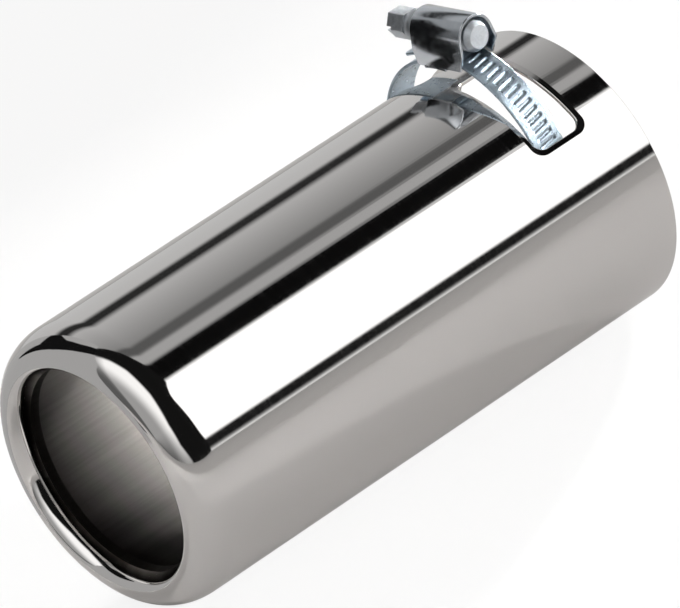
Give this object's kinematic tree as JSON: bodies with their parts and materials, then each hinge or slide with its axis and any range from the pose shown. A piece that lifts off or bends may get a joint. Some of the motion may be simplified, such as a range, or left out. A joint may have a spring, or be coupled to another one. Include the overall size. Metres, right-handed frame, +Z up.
{
  "type": "exhaust tip",
  "caption": "Round polished steel exhaust tip with a rolled-in outlet lip, held on the tail pipe by a worm-drive band clamp passed through slots near its inlet.",
  "frame": {"origin": "centre of the inlet rim, on the tube's axis", "axes": "+Y along the tube's axis out of the inlet, towards the tail pipe; +Z up through the middle of the clamp; +X the side the screw's point faces"},
  "size_m": [0.076, 0.161, 0.0943],
  "materials": {
    "polished_steel": "mirror polished outside, satin inside",
    "zinc_plated_band": "bright zinc plate",
    "zinc_plated_housing": "bright zinc plate",
    "zinc_plated_screw": "satin zinc plate"
  },
  "bodies": {
    "tip": {"tip_shell": "polished_steel", "clamp_band": "zinc_plated_band", "clamp_housing": "zinc_plated_housing"},
    "screw": {"clamp_screw": "zinc_plated_screw"}
  },
  "joints": [
    {"name": "clamp_screw_turn", "type": "hinge", "parent": "tip", "child": "screw", "pos_m": [0, -0.0236, 0.05071], "axis": [1, 0, 0], "continuous": true}
  ]
}
